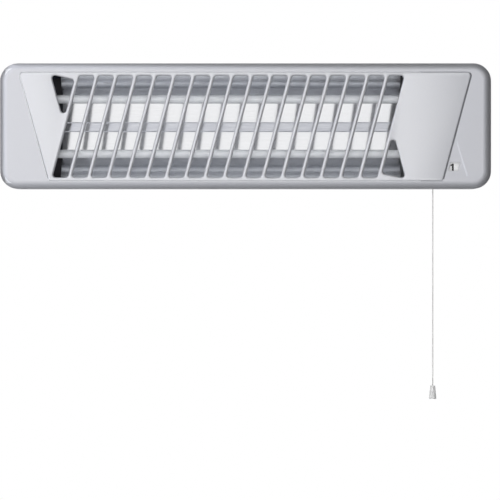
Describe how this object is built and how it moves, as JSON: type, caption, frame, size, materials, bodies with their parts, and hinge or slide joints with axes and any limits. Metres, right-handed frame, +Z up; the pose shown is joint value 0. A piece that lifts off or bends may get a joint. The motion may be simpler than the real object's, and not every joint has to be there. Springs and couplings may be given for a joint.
{
  "type": "quartz heater",
  "caption": "Wall-hung quartz heater with a shallow rounded casing, a slanted-slot front panel over horizontal heating tubes, a tilting wall bracket and a pull-cord switch.",
  "frame": {"origin": "on the wall, at the middle of the wall bracket's rear face, level with the tilt axis", "axes": "+X to the right along the casing as seen from the room, +Y into the wall (the heater's front faces -Y), +Z up"},
  "size_m": [0.528, 0.1, 0.3613],
  "materials": {
    "casing_grey": "satin",
    "panel_silver": "satin",
    "window_clear": "gloss",
    "galvanised_steel": "matte",
    "bright_sheet": "satin",
    "screw_steel": "satin",
    "fibre_washer": "matte",
    "reflector_aluminium": "polished",
    "satin_quartz": "satin",
    "heating_wire": "matte",
    "ceramic_white": "matte",
    "terminal_brass": "satin",
    "grommet_rubber": "matte",
    "clamp_nylon": "matte",
    "lead_brown": "satin",
    "lead_black": "satin",
    "lead_grey": "satin",
    "lead_blue": "satin",
    "lead_green_yellow": "satin",
    "switch_phenolic": "matte",
    "switch_nylon": "satin",
    "spring_steel": "polished",
    "disc_white": "satin",
    "bush_plastic": "satin",
    "cord_grey": "matte",
    "knob_plastic": "satin"
  },
  "bodies": {
    "wall_bracket": {"wall_bracket": "galvanised_steel"},
    "casing": {"casing": "casing_grey", "front_grille": "panel_silver", "grille_screws": "screw_steel", "indicator_window": "window_clear", "back_plate": "galvanised_steel", "back_plate_screws": "screw_steel", "tilt_lug_left": "galvanised_steel", "tilt_lug_right": "galvanised_steel", "lug_screws": "screw_steel", "tilt_bolts": "screw_steel", "tilt_nuts": "screw_steel", "friction_washers": "fibre_washer", "reflector": "reflector_aluminium", "reflector_saddle_left": "bright_sheet", "reflector_saddle_right": "bright_sheet", "quartz_tube_upper": "satin_quartz", "quartz_tube_lower": "satin_quartz", "heating_coil_upper": "heating_wire", "heating_coil_lower": "heating_wire", "end_cap_upper_left": "ceramic_white", "end_cap_lower_left": "ceramic_white", "end_cap_upper_right": "ceramic_white", "end_cap_lower_right": "ceramic_white", "terminal_pins": "terminal_brass", "tube_holder_left": "bright_sheet", "tube_holder_right": "bright_sheet", "inner_rivets": "bright_sheet", "link_strip": "terminal_brass", "terminal_block": "ceramic_white", "terminal_screws": "terminal_brass", "cable_grommet": "grommet_rubber", "cable_clamp": "clamp_nylon", "clamp_screws": "screw_steel", "earth_screw": "terminal_brass", "lead_common": "lead_brown", "lead_upper": "lead_black", "lead_lower": "lead_grey", "lead_neutral": "lead_blue", "lead_earth": "lead_green_yellow", "switch_housing": "switch_phenolic", "switch_cover": "switch_phenolic", "switch_cover_screws": "screw_steel", "switch_mount_screws": "screw_steel", "switch_terminals": "terminal_brass", "fixed_contacts": "terminal_brass", "contact_leaves": "terminal_brass", "detent_spring": "spring_steel", "return_spring": "spring_steel", "cord_bush": "bush_plastic"},
    "plunger": {"plunger": "switch_nylon", "plunger_cord": "cord_grey"},
    "rocker": {"rocker": "switch_nylon", "pawl_spring": "spring_steel"},
    "indicator_wheel": {"ratchet_wheel": "switch_nylon", "indicator_disc": "disc_white", "wheel_shaft": "spring_steel"},
    "hanging_cord": {"pull_cord": "cord_grey", "cord_knob": "knob_plastic"}
  },
  "joints": [
    {"name": "tilt", "type": "hinge", "parent": "wall_bracket", "child": "casing", "pos_m": [0, -0.022, 0], "axis": [1, 0, 0], "range_deg": [0, 30]},
    {"name": "pull", "type": "slide", "parent": "casing", "child": "plunger", "axis": [0, 0, -1], "range_m": [0, 0.01212], "stiffness_N_per_m": 600, "springref_m": -0.004, "deforming": ["return_spring"]},
    {"name": "rocker_swing", "type": "hinge", "parent": "casing", "child": "rocker", "pos_m": [0.2123, -0.0885, -0.035], "axis": [0, -1, 0], "range_deg": [0, 60.5]},
    {"name": "indicator_turn", "type": "hinge", "parent": "casing", "child": "indicator_wheel", "pos_m": [0.2123, -0.0885, -0.035], "axis": [0, -1, 0], "continuous": true, "deforming": ["pawl_spring", "detent_spring"]},
    {"name": "cord_swing", "type": "hinge", "parent": "plunger", "child": "hanging_cord", "pos_m": [0.2018, -0.082, -0.0651], "axis": [1, 0, 0], "range_deg": [-30, 30]}
  ],
  "couplings": [
    {"joint": "rocker_swing", "follows": "pull", "rad_per_m": 86.371}
  ]
}
